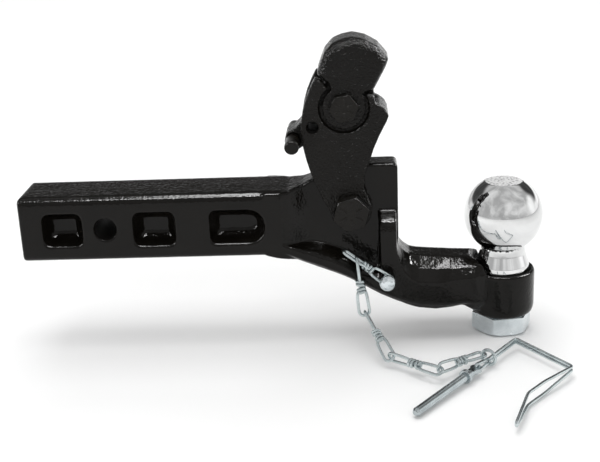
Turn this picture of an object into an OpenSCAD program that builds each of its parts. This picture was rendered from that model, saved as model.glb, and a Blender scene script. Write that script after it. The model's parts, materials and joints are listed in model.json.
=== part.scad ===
// Combination trailer hitch: receiver shank, pintle saddle with swinging jaw,
// 2-5/16 in ball, and a lock pin on a safety chain.
// Origin: centre of the hitch pin hole in the shank. +X runs along the shank
// toward the ball, +Y across the hitch, +Z up. All lengths in millimetres.

/* [Receiver shank] */
// Width and height of the square shank
shank_w = 50; // [38:0.5:64]
// Radius along the long edges of the shank
shank_edge_r = 6; // [2:0.5:10]
// Rear end of the shank, measured back from the pin hole
shank_back = 65.3; // [50:0.1:120]
// Diameter of the hitch pin hole
pin_hole_d = 16.6; // [12:0.1:20]
// Depth of the cast pockets in the shank sides
pocket_depth = 13; // [4:0.5:16]

/* [Saddle and cup] */
// Thickness of the web and of the lug that stops the jaw
web_t = 22; // [16:0.5:30]
// Front face of the lug and front plate
lug_face_x = 218.8; // [200:0.1:230]
// Height of the lug top above the shank axis
lug_top_z = 41; // [30:0.5:45]
// Distance from the pin hole to the ball axis
ball_x = 298; // [270:0.5:320]
// Outer radius of the ball cup
cup_r = 24.5; // [22:0.1:30]
// Radius of the shallow seat in the cup rim
seat_r = 21.7; // [18:0.1:23]
// Height of the ball seat
seat_z = -49; // [-60:0.5:-40]
// Underside of the cup
cup_bottom_z = -82; // [-90:0.5:-70]

/* [Ball] */
// Diameter of the towing ball
ball_d = 58.74; // [47.6:0.01:76.2]
// Height of the ball centre
ball_z = -3.8; // [-20:0.1:20]
// Height of the flat on top of the ball
ball_flat_z = 22; // [10:0.1:28]
// Radius of the ball neck
ball_neck_r = 16.5; // [12:0.1:20]
// Diameter of the threaded ball shank
ball_shank_d = 25.4; // [19:0.1:32]
// Width across flats of the ball nut
ball_nut_af = 40; // [36:0.5:46]

/* [Jaw arm] */
// Arm pivot, along the shank
arm_pivot_x = 183.8; // [170:0.1:200]
// Arm pivot, height
arm_pivot_z = 7.5; // [0:0.1:20]
// Overall width over the two cheeks
arm_w = 38; // [30:0.5:46]
// Inner gap between the cheeks
arm_gap = 23; // [20:0.5:26]
// Outer radius of the pivot eye
arm_eye_r = 15.3; // [12:0.1:18]
// Diameter of the arm pivot bolt
arm_bolt_d = 15.9; // [12:0.1:19]

/* [Top jaw and latch] */
// Jaw pivot, along the shank
jaw_pivot_x = 180.5; // [170:0.1:200]
// Jaw pivot, height
jaw_pivot_z = 85.5; // [70:0.1:100]
// Overall width of the top jaw
jaw_w = 36; // [28:0.5:40]
// Diameter of the jaw pivot bolt
jaw_bolt_d = 12.7; // [8:0.1:16]
// Radius of the round ears beside the jaw pivot
jaw_ear_r = 15.7; // [12:0.1:18]
// Radius of the scallop in the cheeks round the ears
scallop_r = 18.4; // [16:0.1:20]
// Diameter of the release handle
handle_d = 10.6; // [8:0.1:14]
// Length of the release handle
handle_len = 64; // [50:1:90]

/* [Chain and lock pin] */
// Wire diameter of chain, ring and bail
wire_d = 2.4; // [1.5:0.1:4]
// Centre line length of one chain link
link_len = 45; // [35:0.5:60]
// Centre line radius of a link's loops
loop_r = 3.9; // [3:0.1:6]
// Diameter of the lock pin
lock_d = 6.35; // [5:0.05:10]
// Length of the lock pin
lock_len = 75; // [50:1:100]

/* [Hidden] */
$fn = 48;
half = shank_w / 2;
wire_r = wire_d / 2;
P1 = [arm_pivot_x, 0, arm_pivot_z];
P2 = [jaw_pivot_x, 0, jaw_pivot_z];
handle_x = 142.2;
handle_z = 60.5;
safety_x = 157.3;
safety_z = 71.7;
floor_z = -96;

paint = [0.13, 0.125, 0.12];
paint_arm = [0.15, 0.145, 0.14];
zinc = [0.72, 0.74, 0.77];
chrome = [0.86, 0.87, 0.9];
dark_steel = [0.22, 0.22, 0.23];

// chain and lock pin layout, worked out from the stud outward: d is a link's
// direction, a and t span its first and last loops with d, g is how far its end
// overlaps the loop before it, c is the centre of its last loop, and p is where
// the next link pulls on that loop
stud = [209.3, -25, -44];
stud_y = -30;
bear = wire_d + 0.42;
up = [0, 0, 1];
s1 = [213.4, stud_y, -47.1];
d1 = unit([-34.4, 3, 24.9]);
t1 = unit(across([0, 1, 0], d1));
p1 = s1 + 32.4 * d1 - loop_r * t1;
d2 = unit([0.12, -0.17, -0.98]);
g2 = bear / norm(cross(d2, d1));
a2 = unit(cross(d1, d2));
t2 = unit(cross(d2, a2));
c2 = p1 + (link_len - g2 - loop_r) * d2;
d3 = unit([19, -36.7, -25.5]);
g3 = bear;
n2 = in_loop(d3, d2, t2);
p2 = c2 + loop_r * n2;
a3 = unit(across(cross(cross(cross(d2, t2), n2), d3), d3));
t3 = unit(cross(d3, a3));
c3 = p2 + (link_len - g3 - loop_r) * d3;
d4 = unit([38.3, -29, -0.3]);
g4 = bear + 1.0;
n3 = in_loop(d4, d3, t3);
p3 = c3 + loop_r * n3;
w4 = unit(cross(cross(cross(d3, t3), n3), d4));
a4 = unit(across(up, d4) + (w4[2] > 0 ? 0.8 : -0.8) * w4);
t4 = unit(cross(d4, a4));
c4 = p3 + (link_len - g4 - loop_r) * d4;
d5 = unit([0.79, 0.613, -0.045]);
g5 = bear;
n4 = in_loop(d5, d4, t4);
p4 = c4 + loop_r * n4;
a5 = unit(across(up, d5));
c5 = p4 + (link_len - g5 - loop_r) * d5;
bail_dir = unit([0.61, 0.792, 0]);
ring_n = [bail_dir[1], -bail_dir[0], 0];
ring_r = 5.6;
ring_c = [c5[0], c5[1], floor_z + ring_r + wire_r] + (loop_r + 2.9) * ring_n;
bail_q = [ring_c[0], ring_c[1], ring_c[2] - 0.8] + 1.2 * ring_n;
head_c = [bail_q[0], bail_q[1], floor_z + 5.4] - 19 * bail_dir;
pin_dir = unit([-0.622, -0.783, -0.03]);
corner_a = head_c + [33.9, 44.1, 1.2];
corner_b = head_c + [67.2, -2.8, 0.6];
snap_in = head_c + [43.5, -30, 0.2];
snap_out = head_c + [29.5, -46.5, 0.0];
tab_end = head_c + [17.5, -79, 0.0];

function unit(v) = v / norm(v);
function across(v, d) = v - (v * d) * d;
// direction v turned into the plane of a loop that d and t span
function in_loop(v, d, t) = unit(across(v, cross(d, t)));

// upper outline of the jaw arm's cheeks, clockwise from the eye
arm_outline = [
    [168.5, 7], [163.7, 15.5], [160.6, 22.7], [156.8, 31], [154.4, 38.6],
    [152, 47], [150, 56.5], [148.8, 67], [149, 75.4], [150.7, 84.7],
    [153.2, 93], [156.8, 101.3], [160.4, 108.2], [163.6, 106.6], [167.6, 101.6],
    [172, 98], [189, 96], [195.4, 93.9], [202.4, 93.4], [202.9, 88.2],
    [206.3, 86.7], [210.5, 83.3], [212.6, 78.5], [211, 74.4], [206, 65],
    [202, 56], [200, 50.5], [197.3, 42.7], [193.9, 33.3], [193.9, 25.2],
    [197.5, 13.5], [199.1, 7.5]
];
// front wall that joins the cheeks ahead of the lug's sweep
arm_wall = [
    [198.6, 60.5], [203.2, 57.5], [206, 65], [211, 74.4], [212.6, 78.5],
    [210.5, 83.3], [206.3, 86.7], [200.5, 86.7], [200.2, 74]
];
// side outline of the top jaw
nose_outline = [
    [168.9, 103.4], [161.6, 109.9], [163.8, 116.3], [167.4, 125.2],
    [173.3, 131.6], [179.7, 134.2], [187.5, 135.7], [196.6, 133.6],
    [205.7, 128.4], [211.2, 121.8], [213.3, 118.9], [211, 113],
    [206.8, 105.8], [202.4, 97.2], [197, 97.1], [193, 96], [180.5, 96], [172, 99]
];
// side outline of the latch blade between the cheeks
blade_outline = [
    [197, 101], [193.5, 92], [193.4, 84], [189.5, 76.5], [182.5, 71],
    [178.4, 64], [176.4, 57], [175.4, 52.4], [171, 54.7], [168.5, 60],
    [162, 62.5], [152, 57.5], [146, 53.4], [139.8, 54.3], [136, 59.5],
    [137.6, 66], [144, 69.5], [151, 76.5], [156.5, 84.5], [163, 95], [168, 106],
    [182, 112]
];
// web and lug, side outline
web_outline = [
    [118, 24.6], [136, 24.2], [148, 27.4], [160, 32.6], [176, 38.6],
    [190, lug_top_z], [216.6, lug_top_z], [lug_face_x, lug_top_z - 2],
    [lug_face_x, -17], [216, -50], [190, -48], [160, -35], [118, -24]
];
// stations of the keel: x, bottom, parting line, outer top edge, shoulder,
// inner top, half width at the inner top
keel = [
    [128,   -23.6, -21,   -14,   -14.5, -15,   13],
    [136,   -26.4, -23,   -17.2, -16.4, -16.2, 13],
    [148,   -31.6, -28,   -21.6, -19,   -17.6, 13],
    [162,   -37.2, -33,   -27,   -23,   -20.4, 13],
    [173,   -41.6, -38,   -31.4, -27,   -24.2, 13],
    [181.5, -45.6, -42,   -36,   -31,   -28,   13],
    [190,   -50.4, -47,   -42,   -38,   -35,   13],
    [204,   -58.8, -54,   -46,   -42,   -40,   13],
    [216.4, -64.6, -60,   -20,   -18,   -18,   10],
    [217.6, -65,   -60.2, -27,   -22.5, -20.5, 10],
    [220,   -66,   -61,   -35,   -28,   -24.6, 10],
    [223,   -67.4, -62.2, -40,   -32,   -27.8, 10],
    [227,   -69,   -63.6, -44.6, -36,   -30.6, 10],
    [233,   -70.8, -65,   -48.2, -38.4, -31.9, 10],
    [246,   -72.2, -66.2, -49.2, -39.4, -33,   10],
    [257,   -71,   -66.4, -47.4, -38.8, -33.8, 10],
    [266,   -69.4, -65.6, -46.2, -38.4, -34.4, 10],
    [274,   -74,   -66,   -45.4, -38,   -34.7, 10],
    [285,   -76,   -67,   -45.4, -38,   -34.7, 10]
];
function keel_ring(k, w) = [
    [k[0], -w + 4.5, k[1]], [k[0], -w, k[2]], [k[0], -w, k[3]],
    [k[0], -(w + k[6]) / 2 - 1.5, k[4]], [k[0], -k[6], k[5]], [k[0], k[6], k[5]],
    [k[0], (w + k[6]) / 2 + 1.5, k[4]], [k[0], w, k[3]], [k[0], w, k[2]],
    [k[0], w - 4.5, k[1]]
];
// half width of the keel: full along the body, narrowing into the round cup
// half width of the flare between shank and web, u from 0 to 180
function flare_w(u) = web_t / 2 + (half - web_t / 2) * (1 + cos(u)) / 2;
function keel_w(x) = x < 266 ? half : x < 275 ? 24.4 : 20;

// a point of the nose outline drawn in by e, for the rounded upper edges
function nose_inset(p, e) = [
    187.5 + (p[0] - 187.5) * (1 - e / 29),
    103 + (p[1] - 103) * (p[1] > 103 ? 1 - e / 33 : 1)
];

// Which sub-part to draw

// ---------- shapes used by several parts ----------

// a closed skin over rings of points, each ring the same length
module skin(rings) {
    n = len(rings[0]);
    m = len(rings);
    polyhedron(
        points = [for (r = rings) for (p = r) p],
        faces = concat(
            [[for (i = [n - 1:-1:0]) i]],
            [[for (i = [0:n - 1]) (m - 1) * n + i]],
            [for (j = [0:m - 2]) for (i = [0:n - 1])
                [j * n + i, (j + 1) * n + (i + 1) % n, (j + 1) * n + i]],
            [for (j = [0:m - 2]) for (i = [0:n - 1])
                [j * n + i, j * n + (i + 1) % n, (j + 1) * n + (i + 1) % n]]
        )
    );
}

// an XZ outline pushed through from y0 to y1
module slab(outline, y0, y1) {
    translate([0, y1, 0]) rotate([90, 0, 0])
        linear_extrude(height = y1 - y0) polygon(outline);
}

// a cylinder across the hitch
module across_y(x, z, r, y0, y1) {
    translate([x, y1, z]) rotate([90, 0, 0]) cylinder(r = r, h = y1 - y0);
}

// a straight rod between two points
module rod(a, b, r) {
    v = b - a;
    translate(a)
        rotate([0, acos(v[2] / norm(v)), atan2(v[1], v[0])])
            cylinder(r = r, h = norm(v), $fn = 24);
}

// a rod with a ball at its far end, for bent wire
module bend(a, b, r) {
    rod(a, b, r - 0.03);
    translate(b) sphere(r = r, $fn = 24);
}

// rounded square, exact arcs at the corners
module round_square(w, h, r) {
    square([w - 2 * r, h], center = true);
    square([w, h - 2 * r], center = true);
    for (x = [-1, 1], y = [-1, 1])
        translate([x * (w / 2 - r), y * (h / 2 - r)]) circle(r = r);
}

// one ring of a tapered pocket: a rectangle with rounded corners in XZ
function pocket_ring(x0, x1, z0, z1, rl, rr, y) = concat(
    [for (a = [180:22.5:270]) [x0 + rl + rl * cos(a), y, z0 + rl + rl * sin(a)]],
    [for (a = [270:22.5:360]) [x1 - rr + rr * cos(a), y, z0 + rr + rr * sin(a)]],
    [for (a = [0:22.5:90]) [x1 - rr + rr * cos(a), y, z1 - rr + rr * sin(a)]],
    [for (a = [90:22.5:180]) [x0 + rl + rl * cos(a), y, z1 - rl + rl * sin(a)]]
);

// a tapered pocket sunk into the near face; t is the draft at the floor
module pocket(x0, x1, z0, z1, rl, rr, t) {
    skin([
        pocket_ring(x0 - 0.6, x1 + 0.6, z0 - 0.6, z1 + 0.6, rl, rr, -half - 1),
        pocket_ring(x0, x1, z0, z1, rl, rr, -half),
        pocket_ring(x0 + t / 2, x1 - t / 2, z0 + t / 2, z1 - t / 2, max(rl - t / 2, 2),
            max(rr - t / 2, 2), -half + pocket_depth * 0.68),
        pocket_ring(x0 + t, x1 - t, z0 + t, z1 - t, max(rl - t, 2),
            max(rr - t, 2), -half + pocket_depth)
    ]);
}

// one link of knotted wire: loop A lies in the plane of d and a, loop B in
// the plane square to it
module wire_link(s, d, a) {
    b = cross(a, d);
    mid = link_len / 2;
    multmatrix([
        [d[0], b[0], a[0], s[0]],
        [d[1], b[1], a[1], s[1]],
        [d[2], b[2], a[2], s[2]],
        [0, 0, 0, 1]
    ]) {
        rotate([90, 0, 0]) half_link(mid);
        translate([link_len, 0, 0]) rotate([0, 0, 180]) half_link(mid);
        // the knot, wrapped three turns
        translate([mid - 4.6, 0, 0]) rotate([0, 90, 0]) cylinder(r = 2.5, h = 9.2);
        for (k = [-1:1])
            translate([mid + 2.9 * k, 0, 0]) rotate([0, 90, 0])
                rotate_extrude() translate([2.5, 0]) circle(r = wire_r, $fn = 24);
    }
}

// one loop of a link, from its end at the origin in to the knot along +X
module half_link(mid) {
    translate([loop_r, 0, 0]) rotate([0, 0, 90])
        rotate_extrude(angle = 180) translate([loop_r, 0]) circle(r = wire_r, $fn = 24);
    for (k = [-1, 1]) {
        rod([loop_r - 0.15, k * loop_r, 0], [mid - 6.8, k * loop_r, 0], wire_r - 0.03);
        translate([mid - 6.8, k * loop_r, 0]) sphere(r = wire_r, $fn = 24);
        rod([mid - 6.8, k * loop_r, 0], [mid - 2.4, k * 1.3, 0], wire_r - 0.03);
    }
}

// six short raised lines on a bolt head
module head_marks(r0, r1, h) {
    for (k = [0:5]) rotate([0, 0, 60 * k + 30])
        translate([r0, -0.5, 0]) cube([r1 - r0, 1, h]);
}

// a hex with its corners turned down, standing on z = 0
module hex(af, h, c = 1.2) {
    intersection() {
        cylinder(r = af / sqrt(3), h = h, $fn = 6);
        rotate_extrude() polygon([
            [0, 0], [af / sqrt(3) + 0.2, 0], [af / sqrt(3) + 0.2, h - c],
            [af / 2 + 0.4, h], [0, h]
        ]);
    }
}

// ---------- sub-parts ----------

// the casting: shank, web, lug, front plate, saddle and ball cup
module hitch_body() {
    color(paint) difference() {
        union() {
            // receiver shank
            intersection() {
                translate([-shank_back, 0, 0]) rotate([90, 0, 90])
                    linear_extrude(height = shank_back + 132)
                        round_square(shank_w, shank_w, shank_edge_r);
                translate([0, 0, -30]) linear_extrude(height = 60)
                    translate([-shank_back + 100, 0]) round_square(200, shank_w + 2, 5);
                translate([0, 30, 0]) rotate([90, 0, 0]) linear_extrude(height = 60)
                    translate([-shank_back + 100, 0]) round_square(200, shank_w + 2, 5);
            }
            // flare: the shank narrows to the web
            intersection() {
                slab(web_outline, -half, half);
                translate([0, 0, -60]) linear_extrude(height = 120) polygon(concat(
                    [[119, -half]], [for (u = [0:10:180]) [127 + u * 0.17, -flare_w(u)]],
                    [[lug_face_x, -web_t / 2], [lug_face_x, web_t / 2]],
                    [for (u = [180:-10:0]) [127 + u * 0.17, flare_w(u)]], [[119, half]]
                ));
            }
            // keel: bottom flange, saddle and horn in one skin
            skin([for (k = keel) keel_ring(k, keel_w(k[0]))]);
            // front plate, full width, with rounded shoulders
            translate([204.6, 0, 0]) rotate([90, 0, 90]) linear_extrude(height = 12.2)
                polygon([
                    [-half, -54], [half, -54], [half, -8], [24, -2.6], [21.6, 0.8],
                    [17.5, 2.8], [11, 5], [-11, 5], [-17.5, 2.8], [-21.6, 0.8],
                    [-24, -2.6], [-half, -8]
                ]);
            // ball cup
            translate([ball_x, 0, 0]) rotate_extrude() polygon([
                [0, cup_bottom_z], [cup_r - 3.5, cup_bottom_z],
                [cup_r - 1, cup_bottom_z + 2], [cup_r, cup_bottom_z + 6],
                [cup_r, seat_z + 1.7], [cup_r - 0.8, seat_z + 2.5], [0, seat_z + 2.5]
            ]);
        }
        // hitch pin hole
        across_y(0, 0, pin_hole_d / 2, -half - 2, half + 2);
        // pockets, the same on both sides
        for (m = [0, 1]) mirror([0, m, 0]) {
            pocket(-48, -17, -13, 13, 6, 6, 7.5);
            pocket(20.5, 53, -14.2, 12.8, 6, 6, 7.5);
            pocket(78, 120, -14, 12.8, 5, 13, 7.5);
        }
        // arm pivot bore
        across_y(P1[0], P1[2], arm_bolt_d / 2 + 0.06, -20, 20);
        // ball clearance above the rim, seat, shank bore and washer recess
        translate([ball_x, 0, seat_z + 2.5]) cylinder(r = cup_r - 0.2, h = 40);
        translate([ball_x, 0, seat_z]) cylinder(r = seat_r, h = 20);
        translate([ball_x, 0, cup_bottom_z - 1])
            cylinder(r = ball_shank_d / 2 + 0.2, h = 60);
        translate([ball_x, 0, cup_bottom_z - 1]) cylinder(r = 21, h = 6.8);
        // chain stud hole
        across_y(stud[0], stud[2], 3.05, -half - 1, -half + 13);
    }
}

// the swinging arm: two cheeks joined by a front wall
module jaw_arm() {
    color(paint_arm) difference() {
        union() {
            for (m = [0, 1]) mirror([0, m, 0]) {
                // outer cheek, cut back round the jaw's ears
                difference() {
                    slab(arm_outline, -arm_w / 2, -arm_gap / 2);
                    across_y(P2[0], P2[2], scallop_r, -arm_w / 2 - 1, -arm_gap / 2 + 1);
                }
                across_y(P1[0], P1[2], arm_eye_r, -arm_w / 2, -arm_gap / 2);
                // thin inner wall under the ears, with a round boss
                across_y(P2[0], P2[2], jaw_ear_r - 0.1, -15, -arm_gap / 2);
                intersection() {
                    slab([[160, 60], [200, 60], [200.5, 92.4], [191, 92.4], [190, 84], [162, 87]],
                        -15, -arm_gap / 2);
                    across_y(P2[0], P2[2], scallop_r + 0.4, -16, -arm_gap / 2);
                }
            }
            slab(arm_wall, -arm_gap / 2 - 1, arm_gap / 2 + 1);
        }
        across_y(P1[0], P1[2], arm_bolt_d / 2 + 0.06, -30, 30);
        across_y(P2[0], P2[2], jaw_bolt_d / 2 + 0.03, -30, 30);
        across_y(safety_x, safety_z, 4.25, -30, 30);
    }
}

// the top jaw: nose block, two ears and the latch blade in one casting
module top_jaw() {
    w = jaw_w / 2;
    color(paint_arm) difference() {
        union() {
            difference() {
                // nose block, full width with rounded upper edges
                hull() for (u = [0:15:90])
                    slab([for (p = nose_outline) nose_inset(p, 7 * (1 - cos(u)))],
                        -w + 7 - 7 * sin(u), w - 7 + 7 * sin(u));
                // room for the round bosses of the arm
                for (m = [0, 1]) mirror([0, m, 0])
                    across_y(P2[0], P2[2], scallop_r + 0.1, -w - 1, -arm_gap / 2 + 0.5);
                across_y(P2[0], P2[2], 16.4, -w - 1, w + 1);
                // nothing of the block below the ears
                translate([150, -30, 60]) cube([80, 60, 35.2]);
                // clearance over the post of the arm
                slab([[196, 80], [220, 80], [214, 97], [204, 97.1], [196.6, 97.1]],
                    -w - 1, w + 1);
            }
            // ears
            for (m = [0, 1]) mirror([0, m, 0]) {
                across_y(P2[0], P2[2], jaw_ear_r, -w, -15.3);
                slab([[172, 94], [192.5, 92.5], [196.3, 97], [196.3, 103], [192, 106], [174, 108],
                    [170.8, 104.4]], -w, -15.3);
            }
            // latch blade with its hub
            slab(blade_outline, -web_t / 2, web_t / 2);
            slab([[174, 98], [190, 98], [196, 104], [190, 112], [176, 112], [170, 104]],
                -w + 2, w - 2);
        }
        // spring room beside the hub
        for (m = [0, 1]) mirror([0, m, 0])
            across_y(P2[0], P2[2], 12, -15.2, -6.5);
        // wall room above the hub
        for (m = [0, 1]) mirror([0, m, 0])
            across_y(P2[0], P2[2], 16.2, -15.3, -10.9);
        across_y(P2[0], P2[2], jaw_bolt_d / 2 + 0.06, -30, 30);
        across_y(safety_x, safety_z, 4.25, -30, 30);
        across_y(handle_x, handle_z, handle_d / 2 + 0.02, -30, 30);
    }
}

// the round release handle through the latch tail
module handle_bar() {
    r = handle_d / 2;
    color(paint) translate([handle_x, 0, handle_z]) rotate([90, 0, 0])
        rotate_extrude() polygon([
            [0, -handle_len / 2], [r - 1.2, -handle_len / 2], [r, -handle_len / 2 + 1.2],
            [r, handle_len / 2 - 1.2], [r - 1.2, handle_len / 2], [0, handle_len / 2]
        ]);
}

// shoulder bolt that the arm swings on, head toward -Y
module arm_pivot_bolt() {
    y0 = arm_w / 2 + 0.4;
    color(paint) {
        translate([P1[0], -y0, P1[2]]) rotate([90, 0, 0]) {
            rotate([0, 0, 15]) hex(24, 9.4, 1.4);
            translate([0, 0, 9]) head_marks(4, 9.4, 0.9);
        }
        across_y(P1[0], P1[2], arm_bolt_d / 2, -y0 - 1, y0 + 14);
    }
}

// flat washer under the arm pivot's nut
module arm_pivot_washer() {
    y0 = arm_w / 2 + 0.4;
    color(zinc) translate([P1[0], y0, P1[2]]) rotate([-90, 0, 0]) difference() {
        cylinder(r = 15, h = 2.2);
        translate([0, 0, -1]) cylinder(r = arm_bolt_d / 2 + 0.05, h = 20);
    }
}

// locknut of the arm pivot
module arm_pivot_nut() {
    y0 = arm_w / 2 + 2.62;
    color(zinc) translate([P1[0], y0, P1[2]]) rotate([-90, 0, 0]) difference() {
        hex(24, 9.8, 1.4);
        translate([0, 0, -1]) cylinder(r = arm_bolt_d / 2 + 0.02, h = 20);
    }
}

// bolt that the top jaw rocks on
module jaw_pivot_bolt() {
    y0 = jaw_w / 2 + 0.35;
    color(paint) {
        translate([P2[0], -y0, P2[2]]) rotate([90, 0, 0]) {
            rotate([0, 0, 8]) hex(19, 4.2, 1.0);
            translate([0, 0, 4]) head_marks(3, 7.4, 0.7);
        }
        across_y(P2[0], P2[2], jaw_bolt_d / 2, -y0 - 1, y0 + 11);
    }
}

// locknut of the jaw pivot
module jaw_pivot_nut() {
    y0 = jaw_w / 2 + 0.35;
    color(zinc) translate([P2[0], y0, P2[2]]) rotate([-90, 0, 0]) difference() {
        hex(19, 9.6, 1.2);
        translate([0, 0, -1]) cylinder(r = jaw_bolt_d / 2 + 0.02, h = 20);
    }
}

// the two small latch springs on the jaw bolt, each with a short leg
module latch_springs() {
    color(dark_steel) for (m = [0, 1]) mirror([0, m, 0])
        translate([P2[0], -6.9, P2[2]]) rotate([90, 0, 0]) difference() {
            union() {
                cylinder(r = 10.6, h = 4);
                rotate([0, 0, -150]) translate([8.6, -1, 1]) cube([3, 2, 2]);
            }
            translate([0, 0, -1]) cylinder(r = 8, h = 6);
        }
}

// towing ball with collar and threaded shank
module hitch_ball() {
    br = ball_d / 2;
    neck_z = ball_z - sqrt(br * br - ball_neck_r * ball_neck_r);
    sr = ball_shank_d / 2;
    color(chrome) translate([ball_x, 0, 0]) {
        intersection() {
            translate([0, 0, ball_z]) sphere(r = br, $fn = 96);
            translate([0, 0, neck_z]) cylinder(r = br + 1, h = ball_flat_z - neck_z);
        }
        rotate_extrude() polygon([
            [0, neck_z + 4], [ball_neck_r, neck_z + 0.01], [ball_neck_r, -30],
            [17.2, -34], [20.2, -42.6], [20.2, seat_z + 0.02], [sr, seat_z + 0.02],
            [sr, -95.4], [sr - 1.4, -96.8], [0, -96.8]
        ]);
    }
}

// split spring washer in the recess under the cup
module ball_lock_washer() {
    color(zinc) translate([ball_x, 0, cup_bottom_z]) difference() {
        cylinder(r = 20, h = 5.7);
        translate([0, 0, -1]) cylinder(r = ball_shank_d / 2 + 0.4, h = 8);
        rotate([0, 0, 150]) translate([8, -0.7, -1]) cube([14, 1.4, 8]);
    }
}

// ball nut, corners turned down on its lower face
module ball_nut() {
    color(zinc) translate([ball_x, 0, cup_bottom_z - 0.05]) mirror([0, 0, 1])
        difference() {
            rotate([0, 0, 9]) hex(ball_nut_af, 13.9, 1.8);
            translate([0, 0, -1]) cylinder(r = ball_shank_d / 2 + 0.02, h = 20);
        }
}

// shoulder stud that holds the chain to the side of the body
module chain_stud() {
    color(zinc) translate([stud[0], 0, stud[2]]) rotate([90, 0, 0])
        rotate_extrude() polygon([
            [0, 14], [3, 14], [3, 25], [2, 25.4], [2, 34.4], [6, 34.4], [6, 36.4],
            [5, 38], [3, 39], [0, 39.3]
        ]);
}

module chain_link_1() { color(zinc) wire_link(s1, d1, unit(cross(t1, d1))); }
module chain_link_2() { color(zinc) wire_link(p1 - g2 * d2, d2, a2); }
module chain_link_3() { color(zinc) wire_link(p2 - g3 * d3, d3, a3); }
module chain_link_4() { color(zinc) wire_link(p3 - g4 * d4, d4, a4); }
module chain_link_5() { color(zinc) wire_link(p4 - g5 * d5, d5, a5); }

// plain ring that joins the last link to the bail
module chain_end_ring() {
    color(zinc) translate(ring_c)
        rotate([0, 90, atan2(bail_dir[1], bail_dir[0])])
            rotate_extrude() translate([ring_r, 0]) circle(r = wire_r, $fn = 24);
}

// spring wire bail: an upper and a lower strand, joined at the finger tab
module lock_pin_bail() {
    near = 3.6;
    thin = 1.35;
    wide = 4.6;
    q0 = head_c + 18 * bail_dir;
    color(zinc) {
        for (k = [-1, 1]) {
            z = k * [0, 0, 1];
            bend(head_c + 0.9 * z, head_c + near * z, wire_r);
            bend(head_c + near * z, q0 + thin * z, wire_r);
            bend(q0 + thin * z, corner_a + thin * z, wire_r);
            bend(corner_a + thin * z, corner_b + thin * z, wire_r);
            bend(corner_b + thin * z, snap_in + wide * z, wire_r);
            bend(snap_in + wide * z, snap_out + wide * z, wire_r);
            bend(snap_out + wide * z, tab_end + thin * z, wire_r);
        }
        rod(tab_end - [0, 0, thin], tab_end + [0, 0, thin], wire_r);
    }
}

// lock pin with a flat head, cross-drilled for the bail
module lock_pin() {
    r = lock_d / 2;
    color(zinc) difference() {
        union() {
            rod(head_c + 2 * pin_dir, head_c + (lock_len - 2) * pin_dir, r);
            translate(head_c + (lock_len - 2.01) * pin_dir)
                rotate([0, acos(pin_dir[2]), atan2(pin_dir[1], pin_dir[0])])
                    cylinder(r1 = r, r2 = r - 1.4, h = 2);
            translate(head_c - [0, 0, 1.6]) cylinder(r = 4.2, h = 3.2);
        }
        translate(head_c - [0, 0, 6]) cylinder(r = wire_r + 0.05, h = 12);
        // flats where the bail's strands pass over the head
        translate(head_c + [-7, -7, 1.65]) cube([14, 14, 4]);
        translate(head_c + [-7, -7, -5.65]) cube([14, 14, 4]);
    }
}

// collar pressed on the pin below its head
module lock_pin_collar() {
    color(zinc) translate(head_c + 11.5 * pin_dir)
        rotate([0, acos(pin_dir[2]), atan2(pin_dir[1], pin_dir[0])]) difference() {
            cylinder(r = 4.9, h = 3.2);
            translate([0, 0, -1]) cylinder(r = lock_d / 2 + 0.02, h = 6);
        }
}

hitch_body();
jaw_arm();
top_jaw();
handle_bar();
arm_pivot_bolt();
arm_pivot_washer();
arm_pivot_nut();
jaw_pivot_bolt();
jaw_pivot_nut();
latch_springs();
hitch_ball();
ball_lock_washer();
ball_nut();
chain_stud();
chain_link_1();
chain_link_2();
chain_link_3();
chain_link_4();
chain_link_5();
chain_end_ring();
lock_pin_bail();
lock_pin();
lock_pin_collar();
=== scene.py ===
import json
import math
import bpy
import bmesh
from mathutils import Matrix, Vector

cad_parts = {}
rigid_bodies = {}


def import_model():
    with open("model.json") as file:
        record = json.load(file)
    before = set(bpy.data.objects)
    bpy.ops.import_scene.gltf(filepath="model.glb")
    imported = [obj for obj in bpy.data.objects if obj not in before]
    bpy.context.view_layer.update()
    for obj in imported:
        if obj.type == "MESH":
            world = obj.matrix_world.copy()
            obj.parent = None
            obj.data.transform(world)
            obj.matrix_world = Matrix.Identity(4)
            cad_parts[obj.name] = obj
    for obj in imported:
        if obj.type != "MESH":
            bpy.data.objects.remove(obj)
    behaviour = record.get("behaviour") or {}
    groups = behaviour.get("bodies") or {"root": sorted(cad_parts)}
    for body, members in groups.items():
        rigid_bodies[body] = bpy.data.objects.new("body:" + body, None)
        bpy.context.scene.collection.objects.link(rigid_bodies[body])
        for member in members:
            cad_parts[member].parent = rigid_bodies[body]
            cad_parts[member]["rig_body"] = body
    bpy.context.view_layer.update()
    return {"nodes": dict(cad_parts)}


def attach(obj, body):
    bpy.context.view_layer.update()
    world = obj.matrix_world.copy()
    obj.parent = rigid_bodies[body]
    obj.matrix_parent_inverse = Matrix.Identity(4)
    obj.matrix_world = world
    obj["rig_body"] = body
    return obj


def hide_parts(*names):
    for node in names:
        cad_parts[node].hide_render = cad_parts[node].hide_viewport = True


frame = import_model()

scene = bpy.context.scene
nodes = frame["nodes"]
MM = 0.001


# ------------------------------------------------------------------ materials

def new_material(name):
    m = bpy.data.materials.new(name)
    m.use_nodes = True
    nt = m.node_tree
    nt.nodes.clear()
    out = nt.nodes.new("ShaderNodeOutputMaterial")
    bsdf = nt.nodes.new("ShaderNodeBsdfPrincipled")
    nt.links.new(bsdf.outputs["BSDF"], out.inputs["Surface"])
    return m, nt, bsdf


def noise(nt, scale, detail=2.0, rough=0.5, distortion=0.0, vec=None):
    n = nt.nodes.new("ShaderNodeTexNoise")
    n.inputs["Scale"].default_value = scale
    n.inputs["Detail"].default_value = detail
    n.inputs["Roughness"].default_value = rough
    n.inputs["Distortion"].default_value = distortion
    if vec is not None:
        nt.links.new(vec, n.inputs["Vector"])
    return n


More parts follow.
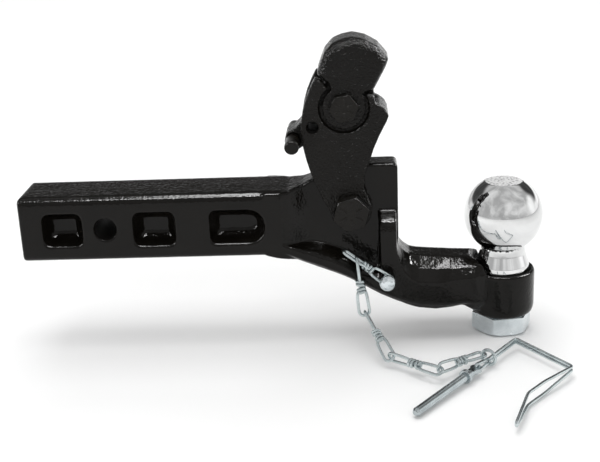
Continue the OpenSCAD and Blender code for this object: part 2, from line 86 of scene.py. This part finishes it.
def ramp(nt, fac, stops):
    r = nt.nodes.new("ShaderNodeValToRGB")
    el = r.color_ramp.elements
    while len(el) < len(stops):
        el.new(0.5)
    for e, (p, c) in zip(el, stops):
        e.position = p
        e.color = (c[0], c[1], c[2], 1.0) if hasattr(c, "__len__") else (c, c, c, 1.0)
    nt.links.new(fac, r.inputs["Fac"])
    return r


def bump(nt, height, strength, distance, normal=None):
    b = nt.nodes.new("ShaderNodeBump")
    b.inputs["Strength"].default_value = strength
    b.inputs["Distance"].default_value = distance
    nt.links.new(height, b.inputs["Height"])
    if normal is not None:
        nt.links.new(normal, b.inputs["Normal"])
    return b


def maprange(nt, v, a, b, c, d):
    n = nt.nodes.new("ShaderNodeMapRange")
    for k, x in zip(("From Min", "From Max", "To Min", "To Max"), (a, b, c, d)):
        n.inputs[k].default_value = x
    nt.links.new(v, n.inputs["Value"])
    return n


def objcoord(nt):
    return nt.nodes.new("ShaderNodeTexCoord").outputs["Object"]


def cast_paint(name, pebble, grain, tone=1.0, rough=(0.2, 0.34), ior=1.28):
    """Gloss black paint over a casting: sand texture under the paint, orange
    peel in it, and a little wear and dust along the edges."""
    m, nt, p = new_material(name)
    co = objcoord(nt)
    big = noise(nt, 38, 3, 0.55, 0.0, co)
    sand = noise(nt, grain, 1.5, 0.5, 0.0, co)
    peel = noise(nt, 1500, 1.5, 0.5, 0.0, co)
    vor = nt.nodes.new("ShaderNodeTexVoronoi")
    vor.inputs["Scale"].default_value = grain * 0.55
    nt.links.new(co, vor.inputs["Vector"])
    geo = nt.nodes.new("ShaderNodeNewGeometry")
    edge = maprange(nt, geo.outputs["Pointiness"], 0.52, 0.6, 0.0, 1.0)
    col = ramp(nt, big.outputs["Fac"], [
        (0.25, (0.0034 * tone, 0.0028 * tone, 0.0021 * tone)),
        (0.6, (0.0054 * tone, 0.0046 * tone, 0.0036 * tone)),
        (0.85, (0.0080 * tone, 0.0069 * tone, 0.0054 * tone))])
    mix = nt.nodes.new("ShaderNodeMix")
    mix.data_type = "RGBA"
    mix.inputs["B"].default_value = (0.011 * tone, 0.0105 * tone, 0.01 * tone, 1)
    nt.links.new(edge.outputs["Result"], mix.inputs["Factor"])
    nt.links.new(col.outputs["Color"], mix.inputs["A"])
    nt.links.new(mix.outputs["Result"], p.inputs["Base Color"])
    r = maprange(nt, big.outputs["Fac"], 0.3, 0.75, rough[0], rough[1])
    nt.links.new(r.outputs["Result"], p.inputs["Roughness"])
    p.inputs["IOR"].default_value = ior
    b1 = bump(nt, big.outputs["Fac"], 0.35, 0.0006)
    b2 = bump(nt, sand.outputs["Fac"], pebble, 0.0007, b1.outputs["Normal"])
    b3 = bump(nt, vor.outputs["Distance"], pebble * 0.8, 0.0006, b2.outputs["Normal"])
    b4 = bump(nt, peel.outputs["Fac"], 0.1, 0.00008, b3.outputs["Normal"])
    nt.links.new(b4.outputs["Normal"], p.inputs["Normal"])
    return m


def zinc(name, base, dark, rough=(0.22, 0.4), scale=260.0, strength=0.25):
    """Bright zinc plate: a faint blue-grey, cloudy in tone and gloss, with painted shade darkening its
    creases.
    """
    m, nt, p = new_material(name)
    co = objcoord(nt)
    cloud = noise(nt, 60, 4, 0.6, 0.4, co)
    fine = noise(nt, scale * 6, 3, 0.6, 0.0, co)
    geo = nt.nodes.new("ShaderNodeNewGeometry")
    # painted shade: concave creases darken the plate colour to as little as 0.35 of its tone
    crease_shade = maprange(nt, geo.outputs["Pointiness"], 0.38, 0.5, 0.35, 1.0)
    col = ramp(nt, cloud.outputs["Fac"], [(0.3, dark), (0.62, base),
        (0.85, tuple(min(1, c * 1.12) for c in base))])
    mul = nt.nodes.new("ShaderNodeMix")
    mul.data_type = "RGBA"
    mul.blend_type = "MULTIPLY"
    mul.inputs["Factor"].default_value = 1.0
    nt.links.new(col.outputs["Color"], mul.inputs["A"])
    nt.links.new(crease_shade.outputs["Result"], mul.inputs["B"])
    nt.links.new(mul.outputs["Result"], p.inputs["Base Color"])
    p.inputs["Metallic"].default_value = 1.0
    r = maprange(nt, cloud.outputs["Fac"], 0.3, 0.8, rough[0], rough[1])
    nt.links.new(r.outputs["Result"], p.inputs["Roughness"])
    b = bump(nt, fine.outputs["Fac"], strength, 0.00012)
    nt.links.new(b.outputs["Normal"], p.inputs["Normal"])
    return m


def chrome():
    """Polished chrome with a rolled pattern on the flat top of the ball."""
    m, nt, p = new_material("ball_chrome")
    co = objcoord(nt)
    sep = nt.nodes.new("ShaderNodeSeparateXYZ")
    nt.links.new(co, sep.inputs["Vector"])
    top = maprange(nt, sep.outputs["Z"], 0.02185, 0.02197, 0.0, 1.0)
    haze = noise(nt, 45, 4, 0.55, 0.6, co)
    rolled = noise(nt, 900, 2, 0.6, 1.2, co)
    vor = nt.nodes.new("ShaderNodeTexVoronoi")
    vor.inputs["Scale"].default_value = 420
    nt.links.new(co, vor.inputs["Vector"])
    col = ramp(nt, haze.outputs["Fac"], [(0.3, (0.68, 0.685, 0.685)), (0.7, (0.82, 0.825, 0.825))])
    spots = ramp(nt, vor.outputs["Distance"], [(0.12, (0.3, 0.3, 0.3)), (0.5, (0.95, 0.95, 0.95))])
    mix = nt.nodes.new("ShaderNodeMix")
    mix.data_type = "RGBA"
    nt.links.new(top.outputs["Result"], mix.inputs["Factor"])
    nt.links.new(col.outputs["Color"], mix.inputs["A"])
    nt.links.new(spots.outputs["Color"], mix.inputs["B"])
    nt.links.new(mix.outputs["Result"], p.inputs["Base Color"])
    met = maprange(nt, top.outputs["Result"], 0.0, 1.0, 1.0, 0.45)
    nt.links.new(met.outputs["Result"], p.inputs["Metallic"])
    r0 = maprange(nt, haze.outputs["Fac"], 0.3, 0.8, 0.035, 0.075)
    r1 = nt.nodes.new("ShaderNodeMath")
    r1.operation = "MULTIPLY_ADD"
    r1.inputs[1].default_value = 0.16
    nt.links.new(top.outputs["Result"], r1.inputs[0])
    nt.links.new(r0.outputs["Result"], r1.inputs[2])
    nt.links.new(r1.outputs["Value"], p.inputs["Roughness"])
    h = nt.nodes.new("ShaderNodeMath")
    h.operation = "ADD"
    nt.links.new(vor.outputs["Distance"], h.inputs[0])
    nt.links.new(rolled.outputs["Fac"], h.inputs[1])
    hm = nt.nodes.new("ShaderNodeMath")
    hm.operation = "MULTIPLY"
    nt.links.new(h.outputs["Value"], hm.inputs[0])
    nt.links.new(top.outputs["Result"], hm.inputs[1])
    b = bump(nt, hm.outputs["Value"], 0.9, 0.00035)
    b2 = bump(nt, haze.outputs["Fac"], 0.05, 0.00012, b.outputs["Normal"])
    nt.links.new(b2.outputs["Normal"], p.inputs["Normal"])
    return m


M_BODY = cast_paint("paint_body", 0.2, 700, 0.85, (0.06, 0.14))
M_ARM = cast_paint("paint_arm", 0.95, 950, 1.0, (0.13, 0.22))
M_NOSE = cast_paint("paint_nose", 0.9, 950, 0.8, (0.1, 0.18))
M_BAR = cast_paint("paint_bar", 0.2, 700, 1.1, (0.24, 0.36))
M_BOLT = cast_paint("paint_bolt", 0.3, 800, 1.3, (0.12, 0.24))
# bore walls: dull thin paint, plus a lower tone and IOR that paint the shade inside the holes
M_BORE_SHADE = cast_paint("bore_wall_painted_shade", 0.15, 700, 0.7, (0.55, 0.7), 1.12)
M_ZINC = zinc("zinc_plate", (0.80, 0.85, 0.87), (0.58, 0.63, 0.65), (0.16, 0.32))
M_WIRE = zinc("zinc_wire", (0.64, 0.70, 0.71), (0.44, 0.49, 0.50), (0.14, 0.28), 300, 0.15)
M_PIN = zinc("zinc_pin", (0.52, 0.57, 0.585), (0.36, 0.40, 0.415), (0.16, 0.28), 240, 0.2)
M_SPRING = zinc("spring_steel", (0.035, 0.035, 0.038), (0.02, 0.02, 0.022), (0.35, 0.5))
M_CHROME = chrome()


# ------------------------------------------------------------------ pieces

def link(name, me):
    ob = bpy.data.objects.new(name, me)
    scene.collection.objects.link(ob)
    return ob


def adopt(ob, node, material):
    ob.data.materials.clear()
    ob.data.materials.append(material)
    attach(ob, nodes[node]["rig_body"])
    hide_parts(node)
    return ob


def shade_smooth(me):
    me.polygons.foreach_set("use_smooth", [True] * len(me.polygons))
    me.update()


def rounded(name, node, material, voxel, iters, sand=0.0, grain=0.0):
    """A fine skin over the CAD solid, with its edges eased as cast, forged or
    plated edges are."""
    ob = link(name, nodes[node].data.copy())
    w = ob.modifiers.new("weld", "WELD")
    w.merge_threshold = 1e-6
    r = ob.modifiers.new("skin", "REMESH")
    r.mode = "VOXEL"
    r.voxel_size = voxel * MM
    r.adaptivity = 0.0
    r.use_smooth_shade = True
    s = ob.modifiers.new("ease", "SMOOTH")
    s.factor = 0.5
    s.iterations = iters
    if sand:
        tex = bpy.data.textures.new(name + "_sand", "CLOUDS")
        tex.noise_scale = grain * MM
        tex.noise_depth = 2
        d = ob.modifiers.new("sand", "DISPLACE")
        d.texture = tex
        d.texture_coords = "LOCAL"
        d.mid_level = 0.5
        d.strength = sand * MM
    dg = bpy.context.evaluated_depsgraph_get()
    me = bpy.data.meshes.new_from_object(ob.evaluated_get(dg))
    ob.modifiers.clear()
    old = ob.data
    ob.data = me
    bpy.data.meshes.remove(old)
    me.name = name
    shade_smooth(me)
    return adopt(ob, node, material)


def lathe(name, profile, origin, axis, segs=96):
    """Turns a profile of (radius, height) points round an axis."""
    bm = bmesh.new()
    rings = []
    for r, h in profile:
        if r < 1e-6:
            rings.append([bm.verts.new((0, 0, h * MM))])
        else:
            rings.append([bm.verts.new((r * MM * math.cos(2 * math.pi * k / segs),
                r * MM * math.sin(2 * math.pi * k / segs), h * MM)) for k in range(segs)])
    for a, b in zip(rings, rings[1:]):
        for k in range(segs):
            k2 = (k + 1) % segs
            if len(a) == 1 and len(b) == 1:
                continue
            if len(a) == 1:
                bm.faces.new((a[0], b[k2], b[k]))
            elif len(b) == 1:
                bm.faces.new((a[k], a[k2], b[0]))
            else:
                bm.faces.new((a[k], a[k2], b[k2], b[k]))
    bmesh.ops.recalc_face_normals(bm, faces=bm.faces)
    rot = Vector((0, 0, 1)).rotation_difference(Vector(axis)).to_matrix().to_4x4()
    bmesh.ops.transform(bm, matrix=Matrix.Translation(Vector(origin) * MM) @ rot, verts=bm.verts)
    me = bpy.data.meshes.new(name)
    bm.to_mesh(me)
    bm.free()
    shade_smooth(me)
    return link(name, me)


def fillet(points, radius, steps=6):
    """Rounds the corners of an open profile; radius is one number or a list."""
    out = [Vector(points[0])]
    for i in range(1, len(points) - 1):
        p = Vector(points[i])
        a = Vector(points[i - 1]) - p
        b = Vector(points[i + 1]) - p
        rr = radius[i] if isinstance(radius, (list, tuple)) else radius
        if rr <= 0 or a.length < 1e-6 or b.length < 1e-6:
            out.append(p)
            continue
        ang = a.angle(b)
        t = min(rr / math.tan(ang / 2), a.length * 0.45, b.length * 0.45)
        s, e = p + a.normalized() * t, p + b.normalized() * t
        for k in range(steps + 1):
            u = k / steps
            out.append(s * (1 - u) ** 2 + p * 2 * u * (1 - u) + e * u * u)
    out.append(Vector(points[-1]))
    return out


def tube(name, paths, radius, sides=16, closed=False):
    """Round wire swept along one or more lists of points, ends domed."""
    bm = bmesh.new()
    for pts in paths:
        pts = [Vector(p) * MM for p in pts]
        keep = [pts[0]]
        for p in pts[1:]:
            if (p - keep[-1]).length > 1e-5:
                keep.append(p)
        pts = keep
        n = len(pts)
        tang = []
        for i in range(n):
            if closed:
                t = pts[(i + 1) % n] - pts[i - 1]
            else:
                t = pts[min(i + 1, n - 1)] - pts[max(i - 1, 0)]
            tang.append(t.normalized())
        ref = Vector((0, 0, 1)) if abs(tang[0].z) < 0.9 else Vector((1, 0, 0))
        u = tang[0].cross(ref).normalized()
        rings = []
        for i in range(n):
            if i:
                q = tang[i - 1].rotation_difference(tang[i])
                u = q @ u
                u = (u - tang[i] * u.dot(tang[i])).normalized()
            v = tang[i].cross(u)
            rings.append([bm.verts.new(pts[i] + (u * math.cos(2 * math.pi * k / sides)
                + v * math.sin(2 * math.pi * k / sides)) * radius * MM) for k in range(sides)])
        if closed:
            # match the last ring to the first so that the seam has no twist
            first, last = rings[0], rings[-1]
            best = min(range(sides), key=lambda s: sum(
                (first[(k + s) % sides].co - last[k].co).length for k in range(sides)))
            for k in range(sides):
                bm.faces.new((last[k], last[(k + 1) % sides],
                    first[(k + 1 + best) % sides], first[(k + best) % sides]))
        for a, b in zip(rings, rings[1:]):
            for k in range(sides):
                bm.faces.new((a[k], a[(k + 1) % sides], b[(k + 1) % sides], b[k]))
        if not closed:
            for end, ring, t in ((pts[0], rings[0], -tang[0]), (pts[-1], rings[-1], tang[-1])):
                prev = ring
                for s in (0.35, 0.7):
                    cur = [bm.verts.new(end + (w.co - end) * math.cos(s * 1.5)
                        + t * radius * MM * 0.45 * math.sin(s * 1.5)) for w in ring]
                    for k in range(sides):
                        bm.faces.new((prev[k], prev[(k + 1) % sides], cur[(k + 1) % sides], cur[k]))
                    prev = cur
                tip = bm.verts.new(end + t * radius * MM * 0.45)
                for k in range(sides):
                    bm.faces.new((prev[k], prev[(k + 1) % sides], tip))
    bmesh.ops.recalc_face_normals(bm, faces=bm.faces)
    me = bpy.data.meshes.new(name)
    bm.to_mesh(me)
    bm.free()
    shade_smooth(me)
    return link(name, me)


def dull_and_shaded_bore(ob, x, z, r):
    """The drilled wall of a cross hole: thin, dull paint, in a darker tone with weak reflection that
    paints the shade inside the hole.
    """
    me = ob.data
    me.materials.append(M_BORE_SHADE)
    k = len(me.materials) - 1
    for f in me.polygons:
        if math.hypot(f.center.x - x * MM, f.center.z - z * MM) < r * MM:
            f.material_index = k


# castings and hardware: eased skins over the CAD solids
cast = rounded("body_casting", "hitch_body", M_BODY, 0.75, 22, 0.1, 4.0)
dull_and_shaded_bore(cast, 0, 0, 8.9)
cast = rounded("arm_casting", "jaw_arm", M_ARM, 0.5, 28, 0.26, 1.8)
dull_and_shaded_bore(cast, 157.3, 71.7, 4.8)
cast = rounded("jaw_casting", "top_jaw", M_NOSE, 0.5, 36, 0.26, 1.8)
dull_and_shaded_bore(cast, 157.3, 71.7, 4.8)
rounded("arm_bolt", "arm_pivot_bolt", M_BOLT, 0.3, 8)
rounded("arm_washer", "arm_pivot_washer", M_ZINC, 0.3, 2)
rounded("arm_locknut", "arm_pivot_nut", M_ZINC, 0.28, 3)
rounded("jaw_bolt", "jaw_pivot_bolt", M_BOLT, 0.26, 7)
rounded("jaw_locknut", "jaw_pivot_nut", M_ZINC, 0.25, 3)
rounded("ball_washer", "ball_lock_washer", M_ZINC, 0.35, 3)
rounded("ball_hex_nut", "ball_nut", M_ZINC, 0.33, 4)
rounded("lock_pin_rod", "lock_pin", M_PIN, 0.2, 4)
rounded("lock_pin_ring", "lock_pin_collar", M_PIN, 0.2, 4)
rounded("chain_rivet", "chain_stud", M_ZINC, 0.22, 4)
rounded("release_bar", "handle_bar", M_BAR, 0.35, 5)

# ball: turned profile, thread rings on the shank end
br, bz, nr, flat = 29.37, -3.8, 16.5, 22.0
a0 = math.asin((flat - bz) / br)
a1 = -math.acos(nr / br)
ball = [(0, flat), (br * math.cos(a0) - 1.1, flat), (br * math.cos(a0) - 0.35, flat - 0.12)]
ball += [(br * math.cos(a0 - 0.02 - (a0 - 0.02 - a1) * k / 90.0),
    bz + br * math.sin(a0 - 0.02 - (a0 - 0.02 - a1) * k / 90.0)) for k in range(91)]
neck = [(ball[-1][0], ball[-1][1]), (nr, ball[-1][1] - 1.2), (nr, -30.0), (17.2, -34.0), (20.2, -42.6),
    (20.2, -48.9), (12.7, -48.95), (12.7, -84.0)]
ball += [tuple(p) for p in fillet(neck, [0, 2.0, 6.0, 8.0, 3.0, 0.3, 0.2, 0])][1:]
z = -84.0
while z > -95.0:
    ball += [(12.7, z), (12.15, z - 0.5), (12.15, z - 0.62), (12.7, z - 1.12)]
    z -= 1.3
ball += [(12.5, -95.6), (11.4, -96.7), (0, -96.8)]
adopt(lathe("tow_ball", ball, (298, 0, 0), (0, 0, 1), 160), "hitch_ball", M_CHROME)

# latch springs: real coils with a short leg each
coils = []
for m in (-1, 1):
    pts = []
    for k in range(0, 73 * 3 // 2):
        t = 2 * math.pi * k / 36.0
        pts.append((180.5 + 9.3 * math.cos(t), m * (7.75 + 2.3 * k / 108.0), 85.5 + 9.3 * math.sin(t)))
    pts.append((pts[-1][0] - 1.0, pts[-1][1], pts[-1][2] + 0.5))
    coils.append(pts)
adopt(tube("latch_coils", coils, 0.7, 10), "latch_springs", M_SPRING)


# ------------------------------------------------------------------ chain

def unit(v):
    return Vector(v).normalized()


def across(v, d):
    v = Vector(v)
    return v - d * v.dot(d)


def in_loop(v, d, t):
    return unit(across(v, unit(d.cross(t))))


LEN, LOOP, WIRE = 45.0, 3.9, 2.4
bear = WIRE + 0.42
up = Vector((0, 0, 1))
s1 = Vector((213.4, -30, -47.1))
d1 = unit((-34.4, 3, 24.9))
t1 = unit(across((0, 1, 0), d1))
p1 = s1 + 32.4 * d1 - LOOP * t1
d2 = unit((0.12, -0.17, -0.98))
g2 = bear / d2.cross(d1).length
a2 = unit(d1.cross(d2))
t2 = unit(d2.cross(a2))
c2 = p1 + (LEN - g2 - LOOP) * d2
d3 = unit((19, -36.7, -25.5))
g3 = bear
n2 = in_loop(d3, d2, t2)
p2 = c2 + LOOP * n2
a3 = unit(across(d2.cross(t2).cross(n2).cross(d3), d3))
t3 = unit(d3.cross(a3))
c3 = p2 + (LEN - g3 - LOOP) * d3
d4 = unit((38.3, -29, -0.3))
g4 = bear + 1.0
n3 = in_loop(d4, d3, t3)
p3 = c3 + LOOP * n3
w4 = unit(d3.cross(t3).cross(n3).cross(d4))
a4 = unit(across(up, d4) + w4 * (0.8 if w4.z > 0 else -0.8))
t4 = unit(d4.cross(a4))
c4 = p3 + (LEN - g4 - LOOP) * d4
d5 = unit((0.79, 0.613, -0.045))
g5 = bear
n4 = in_loop(d5, d4, t4)
p4 = c4 + LOOP * n4
a5 = unit(across(up, d5))
c5 = p4 + (LEN - g5 - LOOP) * d5
bail_dir = unit((0.61, 0.792, 0))
ring_n = Vector((bail_dir.y, -bail_dir.x, 0))
FLOOR = -96.0
ring_c = Vector((c5.x, c5.y, FLOOR + 5.6 + 1.2)) + 6.8 * ring_n
bail_q = Vector((ring_c.x, ring_c.y, ring_c.z - 0.8)) + 1.2 * ring_n
head_c = Vector((bail_q.x, bail_q.y, FLOOR + 5.4)) - 19 * bail_dir


def link_path(s, d, a):
    """One wire: wrapped knot end, loop A, through the knot, loop B, wrapped back."""
    b = a.cross(d)

    def P(x, y, zz):
        return s + d * x + b * y + a * zz
    mid = LEN / 2
    w = 1.16
    one, two = [], []
    # strand one: coil on the far half of the knot, then the near loop (d, a plane)
    turns = 1.6
    for k in range(int(turns * 20), -1, -1):
        t = 2 * math.pi * k / 20.0
        x = mid + 0.6 + 4.0 * k / (turns * 20)
        one.append(P(x, 2.5 * math.sin(t), -2.5 * math.cos(t)))
    one.append(P(mid - 1.4, 0.25, -2.35))
    one.append(P(mid - 3.6, 0.1, -2.6))
    one.append(P(mid - 6.2, 0, -3.55))
    for k in range(0, 25):
        t = -math.pi / 2 - math.pi * k / 24.0
        one.append(P(LOOP + LOOP * math.cos(t), 0, LOOP * math.sin(t)))
    one.append(P(mid - 6.2, 0, 3.55))
    one.append(P(mid - 3.6, 0, 1.9))
    one.append(P(mid - 1.2, 0, 0.6))
    one.append(P(mid + 2.0, 0.2, 0.0))
    # strand two: the mirror image for the far loop (d, b plane)
    for k in range(int(turns * 20), -1, -1):
        t = 2 * math.pi * k / 20.0
        x = mid - 0.6 - 4.0 * k / (turns * 20)
        two.append(P(x, 2.5 * math.cos(t), 2.5 * math.sin(t)))
    two.append(P(mid + 1.4, 2.35, 0.25))
    two.append(P(mid + 3.6, 2.6, 0.1))
    two.append(P(mid + 6.2, 3.55, 0))
    for k in range(0, 25):
        t = math.pi / 2 - math.pi * k / 24.0
        two.append(P(LEN - LOOP + LOOP * math.cos(t), LOOP * math.sin(t), 0))
    two.append(P(mid + 6.2, -3.55, 0))
    two.append(P(mid + 3.6, -1.9, 0))
    two.append(P(mid + 1.2, -0.6, 0))
    two.append(P(mid - 2.0, 0.0, 0.2))
    return [smooth_path(one), smooth_path(two)], w


def smooth_path(pts, passes=2):
    """Corner cutting, ends kept."""
    for _ in range(passes):
        out = [pts[0]]
        for p, q in zip(pts, pts[1:]):
            if (q - p).length < 0.5:
                out.append((p + q) / 2)
                continue
            out.append(p * 0.75 + q * 0.25)
            out.append(p * 0.25 + q * 0.75)
        out.append(pts[-1])
        pts = out
    return pts


ends = [(s1, d1, unit(t1.cross(d1))), (p1 - g2 * d2, d2, a2), (p2 - g3 * d3, d3, a3),
    (p3 - g4 * d4, d4, a4), (p4 - g5 * d5, d5, a5)]
for i, (s, d, a) in enumerate(ends):
    paths, w = link_path(s, d, a)
    adopt(tube("wire_link_%d" % (i + 1), paths, w, 14), "chain_link_%d" % (i + 1), M_WIRE)

ring = []
for k in range(56):
    t = 2 * math.pi * k / 56.0
    ring.append(ring_c + 5.6 * (ring_n * math.cos(t) + up * math.sin(t)))
adopt(tube("end_ring", [ring], 1.18, 14, closed=True), "chain_end_ring", M_WIRE)

# bail: one spring wire, out along the upper strand and back along the lower
near, thin, wide = 3.6, 1.35, 4.6
q0 = head_c + 18 * bail_dir
stations = [(head_c, near, 0), (q0, thin, 3), (head_c + Vector((33.9, 44.1, 1.2)), thin, 6),
    (head_c + Vector((67.2, -2.8, 0.6)), thin, 6), (head_c + Vector((43.5, -30, 0.2)), wide, 7),
    (head_c + Vector((29.5, -46.5, 0.0)), wide, 7), (head_c + Vector((17.5, -79, 0.0)), thin, 0)]


def soft_corners(pts, radii, steps=7):
    out = [pts[0]]
    for i in range(1, len(pts) - 1):
        p, a, b = pts[i], pts[i - 1] - pts[i], pts[i + 1] - pts[i]
        t = min(radii[i], a.length * 0.45, b.length * 0.45)
        s, e = p + a.normalized() * t, p + b.normalized() * t
        for k in range(steps + 1):
            u = k / steps
            out.append(s * (1 - u) ** 2 + p * 2 * u * (1 - u) + e * u * u)
    out.append(pts[-1])
    return out


def strand(sign):
    pts = [head_c + up * (0.9 * sign)] + [c + up * (g * sign) for c, g, _ in stations]
    radii = [0, 1.4] + [max(r * 0.45, 1.0) for _, _, r in stations[1:]]
    return soft_corners(pts, radii)


upper, lower = strand(1), strand(-1)
tip = stations[-1][0]
end_dir = unit(stations[-1][0] - stations[-2][0])
turn = [tip + up * thin * math.cos(t) + end_dir * 1.0 * math.sin(t)
    for t in [math.pi * k / 10.0 for k in range(1, 10)]]
wire = upper[:-1] + [tip + up * thin] + turn + [tip - up * thin] + lower[::-1][1:]
adopt(tube("bail_wire", [wire], 1.17, 16), "lock_pin_bail", M_WIRE)


# ------------------------------------------------------------------ floor, light, camera

me = bpy.data.meshes.new("floor")
X, Y, Z = 6.0, 9.0, -0.0971
me.from_pydata([(-X, -Y, Z), (X, -Y, Z), (X, Y, Z), (-X, Y, Z)], [], [(0, 1, 2, 3)])
floor = link("floor", me)
m, nt, p = new_material("floor_paper")
co = objcoord(nt)
n = noise(nt, 3.0, 2, 0.5, 0, co)
c = ramp(nt, n.outputs["Fac"], [(0.3, (0.90, 0.90, 0.895)), (0.7, (0.93, 0.93, 0.93))])
nt.links.new(c.outputs["Color"], p.inputs["Base Color"])
p.inputs["Roughness"].default_value = 0.9
p.inputs["Specular IOR Level"].default_value = 0.05
floor.data.materials.append(m)

world = bpy.data.worlds.new("studio")
scene.world = world
world.use_nodes = True
wn = world.node_tree
wn.nodes.clear()
wo = wn.nodes.new("ShaderNodeOutputWorld")
bg = wn.nodes.new("ShaderNodeBackground")
tc = wn.nodes.new("ShaderNodeTexCoord")
sp = wn.nodes.new("ShaderNodeSeparateXYZ")
wn.links.new(tc.outputs["Generated"], sp.inputs["Vector"])


def wmap(value, a, b, c, d):
    n = wn.nodes.new("ShaderNodeMapRange")
    n.interpolation_type = "SMOOTHSTEP"
    for k, x in zip(("From Min", "From Max", "To Min", "To Max"), (a, b, c, d)):
        n.inputs[k].default_value = x
    wn.links.new(value, n.inputs["Value"])
    return n.outputs["Result"]


def wmul(a, b):
    n = wn.nodes.new("ShaderNodeMath")
    n.operation = "MULTIPLY"
    wn.links.new(a, n.inputs[0])
    wn.links.new(b, n.inputs[1])
    return n.outputs["Value"]


# a grey room: pale at the horizon, dark behind the object above that
behind = wmul(wmap(sp.outputs["Y"], 0.1, 0.5, 0.0, 1.0),
    wmul(wmap(sp.outputs["Z"], 0.1, 0.26, 0.0, 1.0), wmap(sp.outputs["Z"], 0.6, 0.85, 1.0, 0.0)))
dark = wmap(behind, 0.0, 1.0, 1.0, 0.1)
cl = noise(wn, 1.6, 3, 0.6, 0.6, tc.outputs["Generated"])
tone = wmap(cl.outputs["Fac"], 0.35, 0.7, 0.48, 0.9)


def patch(direction, inner, outer, power):
    d = Vector(direction).normalized()
    v = wn.nodes.new("ShaderNodeVectorMath")
    v.operation = "DOT_PRODUCT"
    v.inputs[1].default_value = d
    wn.links.new(tc.outputs["Generated"], v.inputs[0])
    return wmap(v.outputs["Value"], outer, inner, 0.0, power)


def wadd(a, b):
    n = wn.nodes.new("ShaderNodeMath")
    n.operation = "ADD"
    wn.links.new(a, n.inputs[0])
    wn.links.new(b, n.inputs[1])
    return n.outputs["Value"]


sky = wmul(dark, tone)
sky = wadd(sky, wmul(wmul(wmap(sp.outputs["Y"], 0.2, 0.7, 0.0, 0.75),
    wmap(sp.outputs["Z"], 0.09, 0.2, 1.0, 0.0)), wmap(sp.outputs["X"], 0.0, 0.25, 0.0, 1.0)))
sky = wadd(sky, patch((0.97, 0.15, 0.22), 0.99, 0.9, 0.4))
comb = wn.nodes.new("ShaderNodeCombineColor")
for k in range(3):
    wn.links.new(sky, comb.inputs[k])
wn.links.new(comb.outputs["Color"], bg.inputs["Color"])
bg.inputs["Strength"].default_value = 1.0
wn.links.new(bg.outputs["Background"], wo.inputs["Surface"])


def area(name, loc, target, size, power, size_y=None):
    d = bpy.data.lights.new(name, "AREA")
    d.energy = power
    d.shape = "RECTANGLE"
    d.size = size
    d.size_y = size_y or size
    o = bpy.data.objects.new(name, d)
    scene.collection.objects.link(o)
    o.location = loc
    v = Vector(target) - Vector(loc)
    o.rotation_euler = v.to_track_quat("-Z", "Y").to_euler()
    return o


key = area("key_top", (0.0, 0.1, 1.7), (0.13, 0.1, 0), 1.6, 16.5, 1.2)
key.visible_glossy = False
glints = [
    area("strip_front", (0.1, -0.85, 1.7), (0.15, 0, 0), 1.2, 40, 0.14),
    area("side_right", (1.35, 0.28, 0.95), (0.22, 0, 0), 0.3, 48, 0.8),
    area("side_left", (-1.3, -0.55, 0.75), (0.1, 0, 0), 0.16, 20, 0.8),
    area("back_right", (1.05, 1.5, 0.38), (0.2, 0, 0), 0.3, 1.3, 0.5),
    area("overhead", (0.1, 0.0, 1.45), (0.15, 0, 0), 0.9, 44, 0.6),
]
wash = area("back_wash", (0.2, 3.2, 2.4), (0.2, 2.4, -0.1), 4.0, 60, 2.5)
wash.visible_glossy = False
wash = area("front_wash", (0.2, -3.6, 2.4), (0.2, -3.0, -0.1), 4.0, 40, 2.5)
wash.visible_glossy = False
# the narrow boxes only put glints on the paint; metal sees the grey room
painted = bpy.data.collections.new("painted")
for ob in scene.objects:
    if ob.type == "MESH" and any(m and m.name.startswith("paint_") for m in ob.data.materials):
        painted.objects.link(ob)
casting = bpy.data.collections.new("casting")
for ob in painted.objects:
    if ob.data.materials[0].name.startswith("paint_body"):
        casting.objects.link(ob)
for g in glints:
    g.visible_diffuse = False
    g.light_linking.receiver_collection = casting if g is glints[-1] else painted

cam = bpy.data.cameras.new("camera")
co_ = bpy.data.objects.new("camera", cam)
scene.collection.objects.link(co_)
cam.sensor_fit = "HORIZONTAL"
cam.sensor_width = 36.0
cam.lens = 67.64
cam.clip_start = 0.01
cam.clip_end = 60.0
right = Vector((0.99842, 0.03855, -0.04117))
upv = Vector((0.02605, 0.33224, 0.94281))
fwd = Vector((-0.0500, 0.9424, -0.3307))
R = Matrix((right, upv, -fwd)).transposed().to_4x4()
co_.matrix_world = Matrix.Translation((0.1872, -0.8120, 0.2713)) @ R
scene.camera = co_
scene.view_settings.view_transform = "Standard"
scene.view_settings.look = "None"
